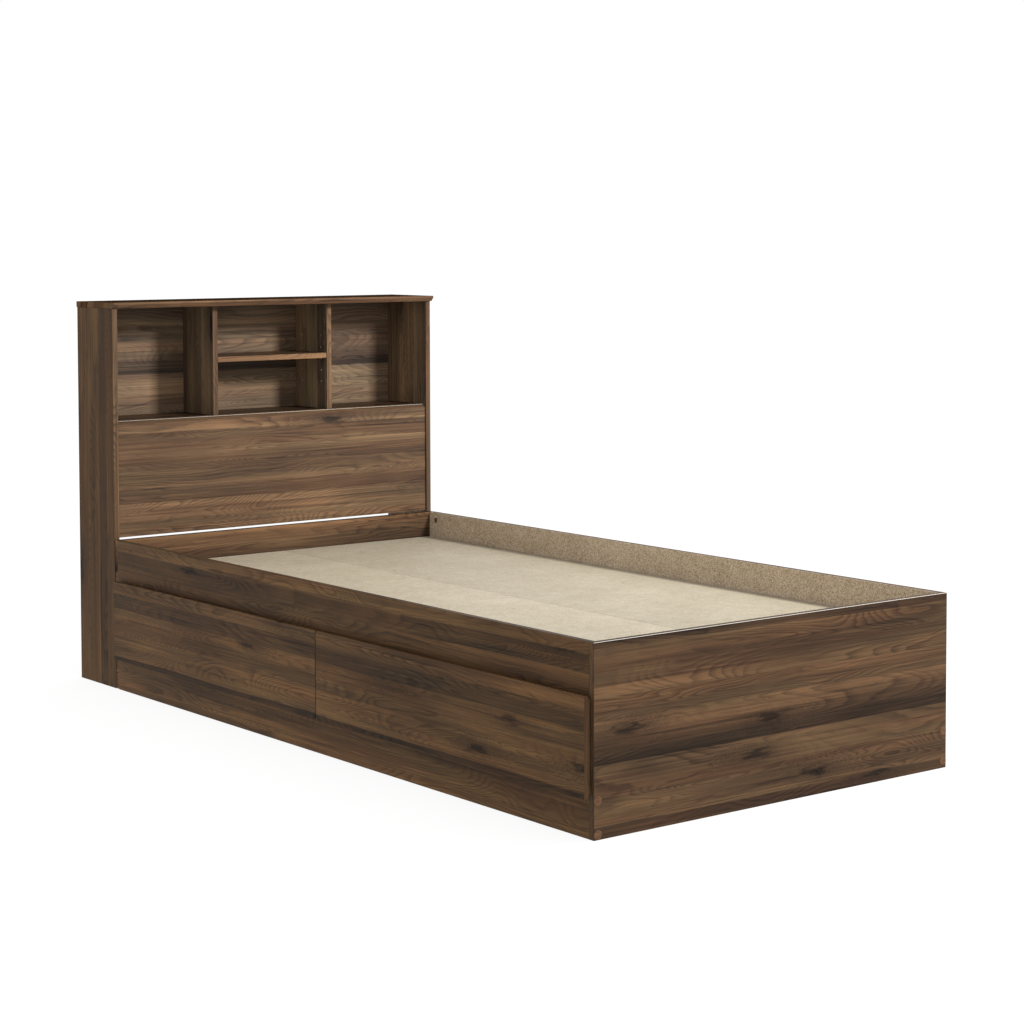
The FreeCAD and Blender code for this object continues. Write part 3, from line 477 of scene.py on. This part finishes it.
# bore_painted_light lifts the bare core in the bores above its own colour, as painted light against their
# shade
laminated("divider_left", "ZX", (5.2, 0.9), [("-Y", "Z", 1.45)], tint_and_painted_light=CUBBY_PAINTED_LIGHT, bore_painted_light=1.6)
laminated("divider_right", "ZX", (6.4, 1.36), [("-Y", "Z", 1.45)], tint_and_painted_light=CUBBY_PAINTED_LIGHT, bore_painted_light=1.6)
laminated("adjustable_shelf", "XZ", (8.8, 1.6), [("-Y", "X", 1.25), ("+Z", "X", 0.7)])
laminated("headboard_back_panel", "XY", (9.3, 2.1), raw_faces=["+Y"], core=HARDBOARD, tint_and_painted_light=BACK_PAINTED_LIGHT)
laminated("foot_panel", "XY", (11.2, 0.0), [("-X", "Z", 0.58), DARK_TOP_X], tint_and_painted_light=(1.06, 1.06, 1.06),
          arris_highlight=0.8)
laminated("head_panel", "XY", (12.9, 0.33), [DARK_TOP_X])
laminated("left_top_rail", "YX", (14.1, 0.63), [DARK_TOP_Y], tint_and_painted_light=SIDE_PAINTED_SHADE)
laminated("left_kick_rail", "YX", (16.5, 0.06), [DARK_TOP_Y], tint_and_painted_light=SIDE_PAINTED_SHADE)
laminated("right_side_panel", "YX", (18.2, 0.5), [DARK_TOP_Y], raw_faces=["-X"])
for drawer, along in zip(DRAWERS, (20.7, 22.4)):
    laminated(f"{drawer}_drawer_front", "YX", (along, 0.437), [DRAWER_END], tint_and_painted_light=SIDE_PAINTED_SHADE, skin=ALL_SKIN,
              flip=True)
    laminated(f"{drawer}_drawer_side_right", "XY", (3.0, 5.0), [("+Z", "X", 0.8)])
    laminated(f"{drawer}_drawer_side_left", "XY", (5.0, 6.0), [("+Z", "X", 0.8)])
    laminated(f"{drawer}_drawer_back", "YX", (6.0, 7.0), [("+Z", "Y", 0.8)])


# ---------------------------------------------------------------- plain boards and fittings

def deck_material(name, brightness):
    """Pale fine-chip board of the deck, with faint clouds and flecks."""
    made, tree, shader = material(name)
    place = tree.place()
    fibre = tree.noise(place, dimensions="3D", scale=700.0, detail=3.0, roughness=0.7)
    flecks = tree.cells(place, dimensions="3D", scale=520.0)
    fleck_tone = tree.split(flecks["Color"])[0]
    cloud = tree.noise(place, dimensions="3D", scale=6.0, detail=3.0, roughness=0.6)
    mottle = tree.noise(place, dimensions="3D", scale=45.0, detail=3.0, roughness=0.6)
    tone = tree.add(0.55, tree.centred(fibre, 0.75), tree.centred(fleck_tone, 0.40),
                    tree.centred(cloud, 0.35), tree.centred(mottle, 0.40))
    colour = tree.ramp(tone, [
        (0.0, srgb(104, 94, 78)), (0.3, srgb(138, 128, 110)), (0.6, srgb(158, 148, 130)),
        (1.0, srgb(180, 171, 155))])
    colour = tree.tint(colour, (brightness, brightness, brightness * 0.97, 1.0))
    normal = tree.bump(tree.add(fibre, fleck_tone), 0.4, 0.12 * MM)
    finish(tree, shader, colour, tree.add(0.62, tree.centred(fibre, 0.1)), normal, specular=0.3)
    return made


def bare_board_material():
    """The bare particleboard of the supports under the deck."""
    made, tree, shader = material("bare_particleboard")
    chips = use_group(tree, PARTICLES, Place=tree.place())
    normal = tree.bump(chips["Height"], 0.6, 0.25 * MM)
    finish(tree, shader, chips["Color"], tree.add(0.82, tree.centred(chips["Height"], 0.08)), normal, 0.25)
    return made


def softwood_material(name, grain, colours):
    """Plain sawn wood with straight grain along the axis."""
    made, tree, shader = material(name)
    parts = tree.split(tree.place())
    along = AXES.index(grain)
    across = tree.add(*[part for axis, part in enumerate(parts) if axis != along])
    slow = tree.noise(tree.join(tree.times(parts[along], 1.5), tree.times(across, 60.0)), detail=2.0)
    ring = tree.math("FRACT", tree.add(tree.times(across, 260.0), tree.times(slow, 4.0)))
    fibre = tree.noise(tree.join(tree.times(parts[along], 18.0), tree.times(across, 1200.0)), detail=2.0)
    tone = tree.add(0.6, tree.times(ring, -0.35), tree.centred(slow, 0.5), tree.centred(fibre, 0.3))
    colour = tree.ramp(tone, [(0.0, colours[0]), (0.5, colours[1]), (1.0, colours[2])])
    normal = tree.bump(tree.add(fibre, ring), 0.3, 0.12 * MM)
    finish(tree, shader, colour, tree.add(0.6, tree.centred(fibre, 0.15)), normal, specular=0.3)
    return made


def hardboard_material():
    """The bare hardboard of the drawers' bottoms."""
    made, tree, shader = material("bare_hardboard")
    board = use_group(tree, HARDBOARD, Place=tree.place())
    roughness = tree.add(0.55, tree.centred(board["Height"], 0.1))
    finish(tree, shader, board["Color"], roughness, tree.bump(board["Height"], 0.3, 0.1 * MM), specular=0.3)
    return made


def coated_steel_material():
    """Off-white epoxy coating with a faint orange peel and rubbed tracks."""
    made, tree, shader = material("coated_steel")
    place = tree.place()
    peel = tree.noise(place, dimensions="3D", scale=900.0, detail=2.0)
    x, y, z = tree.split(place)
    rub = tree.noise(tree.join(tree.times(x, 30.0), tree.times(tree.add(y, z), 1600.0)), detail=3.0)
    tone = tree.add(0.5, tree.centred(rub, 0.5), tree.centred(peel, 0.2))
    colour = tree.ramp(tone, [
        (0.0, srgb(196, 194, 186)), (0.6, srgb(226, 225, 219)), (1.0, srgb(238, 237, 232))])
    finish(tree, shader, colour, tree.add(0.33, tree.centred(rub, 0.12)), tree.bump(peel, 0.25, 0.05 * MM))
    return made


def zinc_material():
    """Zinc plate: bright grey metal with fine turning marks and cloudy dulling."""
    made, tree, shader = material("zinc_plate")
    place = tree.place()
    marks = tree.noise(place, dimensions="3D", scale=2600.0, detail=3.0, roughness=0.7)
    dull = tree.noise(place, dimensions="3D", scale=160.0, detail=3.0)
    colour = tree.ramp(tree.add(dull, tree.centred(marks, 0.3)),
                       [(0.2, srgb(150, 150, 146)), (0.6, srgb(190, 190, 186)), (1.0, srgb(214, 214, 210))])
    roughness = tree.add(0.30, tree.centred(dull, 0.25))
    finish(tree, shader, colour, roughness, tree.bump(marks, 0.3, 0.03 * MM))
    shader.inputs["Metallic"].default_value = 1.0
    return made


def nylon_material():
    """Off-white moulded nylon, a little dirty."""
    made, tree, shader = material("nylon")
    place = tree.place()
    grain = tree.noise(place, dimensions="3D", scale=1500.0, detail=2.0)
    dirt = tree.noise(place, dimensions="3D", scale=220.0, detail=3.0)
    colour = tree.ramp(dirt, [(0.2, srgb(206, 202, 188)), (0.7, srgb(232, 230, 220))])
    roughness = tree.add(0.42, tree.centred(grain, 0.15))
    finish(tree, shader, colour, roughness, tree.bump(grain, 0.3, 0.05 * MM))
    shader.inputs["Subsurface Weight"].default_value = 0.1
    return made


def cap_material():
    """Tan moulded cap with a faint printed wood figure."""
    made, tree, shader = material("tan_cap")
    parts = tree.split(tree.place())
    figure = tree.noise(tree.join(tree.times(parts[0], 60.0), tree.times(parts[2], 420.0)), detail=3.0,
                        roughness=0.6)
    grain = tree.noise(tree.place(), dimensions="3D", scale=2200.0, detail=2.0)
    colour = tree.ramp(tree.add(figure, tree.centred(grain, 0.15)),
                       [(0.25, srgb(72, 49, 32)), (0.5, srgb(104, 74, 50)), (0.8, srgb(132, 98, 69))])
    roughness = tree.add(0.48, tree.centred(grain, 0.1))
    finish(tree, shader, colour, roughness, tree.bump(grain, 0.3, 0.05 * MM), specular=0.15)
    return made


paint(deck_material("left_deck_board", 1.02), "platform_left")
paint(deck_material("right_deck_board", 0.92), "platform_right")
paint(bare_board_material(), "centre_support", "partition_middle", "partition_head",
      "cross_support_foot", "cross_support_head")
paint(softwood_material("pine", "Y", (srgb(150, 108, 66), srgb(198, 160, 112), srgb(222, 190, 146))),
      "cleat_left", "cleat_right")
paint(softwood_material("beech", "Y", (srgb(150, 108, 72), srgb(190, 148, 108), srgb(212, 176, 138))),
      "dowels")
paint(hardboard_material(), *[f"{drawer}_drawer_bottom" for drawer in DRAWERS])
paint(coated_steel_material(), *[f"{drawer}_{part}_{hand}" for drawer in DRAWERS for hand in HANDS
                                 for part in ("case_runner", "drawer_runner")])
paint(nylon_material(), *[f"{drawer}_{end}_rollers" for drawer in DRAWERS for end in ("front", "rear")])
paint(zinc_material(), "cam_locks", "cam_bolts", "back_nails", "wood_screws", "runner_screws",
      "foot_screws", "shelf_pins",
      *[f"{drawer}_drawer_{part}" for drawer in DRAWERS
        for part in ("cam_locks", "cam_bolts", "runner_screws")])
paint(cap_material(), "cover_caps")


# ---------------------------------------------------------------- studio

FOOT_LEFT = Vector((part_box("foot_panel")[0].x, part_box("foot_panel")[0].y, 0.0))


def floor():
    """A plain pale floor that glows, so that its edge doesn't show against the white room."""
    side = 60.0
    mesh = bpy.data.meshes.new("floor")
    corners = [(-side, -side, 0), (side, -side, 0), (side, side, 0), (-side, side, 0)]
    mesh.from_pydata(corners, [], [(0, 1, 2, 3)])
    obj = bpy.data.objects.new("floor", mesh)
    bpy.context.scene.collection.objects.link(obj)
    made, tree, shader = material("floor")
    finish(tree, shader, grey(0.18), roughness=0.9, specular=0.0)
    shader.inputs["Emission Color"].default_value = grey(1.0)
    shader.inputs["Emission Strength"].default_value = 0.86
    mesh.materials.append(made)


def area_light(name, size, power, location, target, spread):
    """A square lamp, size metres wide, that the camera doesn't see."""
    light = bpy.data.lights.new(name, "AREA")
    light.size = size
    light.energy = power
    light.spread = math.radians(spread)
    obj = bpy.data.objects.new(name, light)
    obj.location = location
    obj.rotation_euler = (Vector(target) - Vector(location)).to_track_quat("-Z", "Y").to_euler()
    obj.visible_camera = False
    bpy.context.scene.collection.objects.link(obj)


def studio():
    """A white room with one small lamp, high at the front right."""
    area_light("key", size=0.45, power=50, location=(1.2, -1.5, 2.0), target=(0.0, 0.9, 0.75), spread=125)
    world = bpy.data.worlds.new("studio")
    bpy.context.scene.world = world
    world.use_nodes = True
    background = world.node_tree.nodes["Background"]
    background.inputs["Color"].default_value = grey(1.0)
    background.inputs["Strength"].default_value = 1.0
    bpy.context.scene.view_settings.view_transform = "Standard"


def camera():
    """The nearly level camera, off the foot's left corner, shifted down to frame the bed."""
    data = bpy.data.cameras.new("camera")
    data.sensor_width = 36.0
    data.lens = 81.6
    data.shift_y = -0.1525
    obj = bpy.data.objects.new("camera", data)
    obj.location = FOOT_LEFT + Vector((-2.8635, -3.439, 1.183))
    turn = Matrix.Rotation(math.radians(-37.765), 4, "Z")
    tilt = Matrix.Rotation(math.radians(87.0), 4, "X")
    roll = Matrix.Rotation(math.radians(-0.14), 4, "Z")
    obj.rotation_euler = (turn @ tilt @ roll).to_euler()
    bpy.context.scene.collection.objects.link(obj)
    bpy.context.scene.camera = obj


floor()
studio()
camera()
